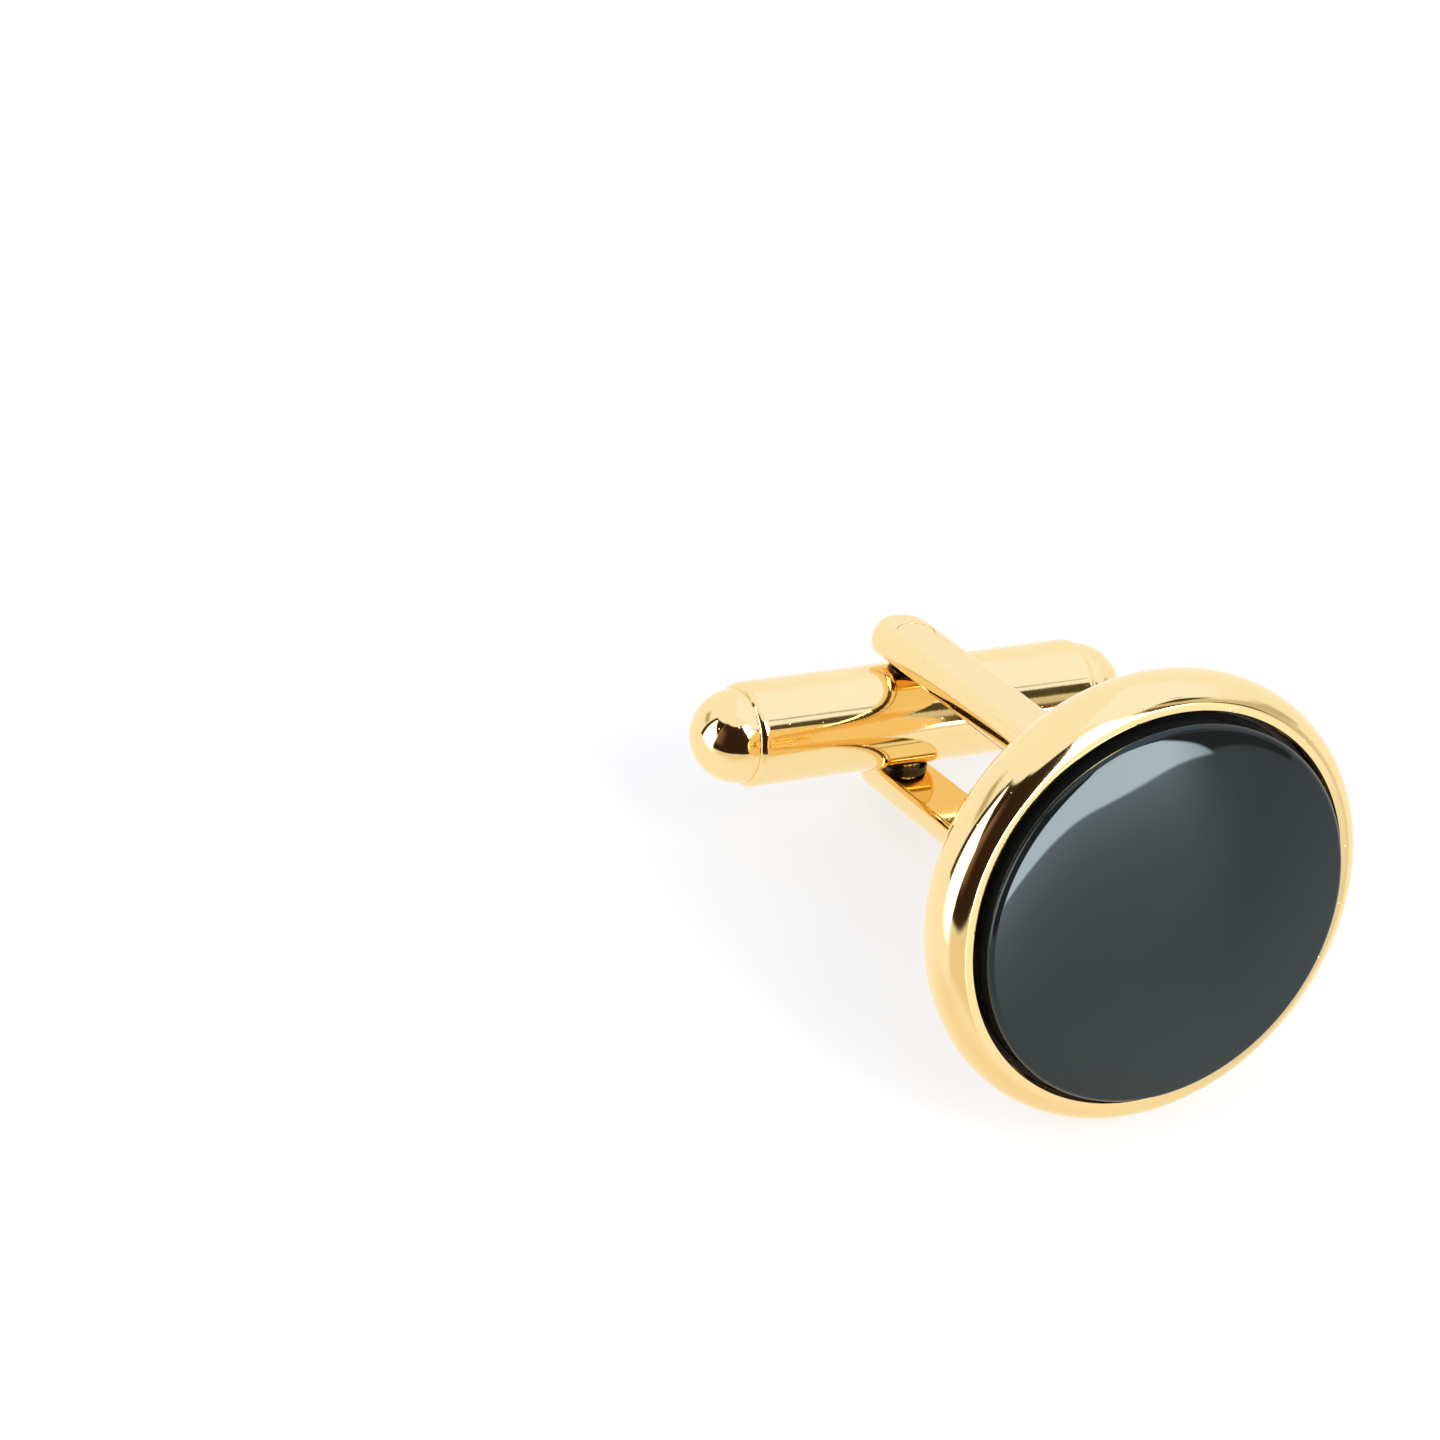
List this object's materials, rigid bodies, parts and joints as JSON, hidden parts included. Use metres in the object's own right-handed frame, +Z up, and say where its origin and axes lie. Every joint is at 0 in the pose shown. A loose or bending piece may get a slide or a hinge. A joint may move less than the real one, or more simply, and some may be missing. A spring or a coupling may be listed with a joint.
{
  "type": "cufflink",
  "caption": "Swivel-bar cufflink: round black domed stone in a polished gold-coloured bead-rimmed cup, flat forked post, and a round toggle bar that turns between the fork's arms.",
  "frame": {"origin": "middle of the bounding box on the table the cufflink lies on", "axes": "+Z up from the table; the stone faces -Y and leans back; the bar runs mostly along X, its right end (+X) on the table; lying on the bezel's rim, the tip of the lower arm and the right end of the bar's tube, as in the picture"},
  "size_m": [0.0174, 0.0222, 0.0163],
  "materials": {
    "gold_plate": "polished",
    "black_stone": "polished",
    "cement": "matte",
    "dark_steel": "satin",
    "spring_steel": "satin"
  },
  "bodies": {
    "face": {"bezel_cup": "gold_plate", "stone_bed": "cement", "onyx_stone": "black_stone", "fork_post": "gold_plate", "pivot_pin": "gold_plate", "washer_upper": "dark_steel", "washer_lower": "dark_steel"},
    "toggle": {"toggle_barrel": "gold_plate", "barrel_cap_left": "gold_plate", "barrel_cap_right": "gold_plate", "detent_leaf": "spring_steel"}
  },
  "joints": [
    {"name": "toggle_swivel", "type": "hinge", "parent": "face", "child": "toggle", "pos_m": [0, 0.0084, 0.00357], "axis": [0.247, 0.2693, 0.9308], "continuous": true, "deforming": ["detent_leaf"]}
  ]
}
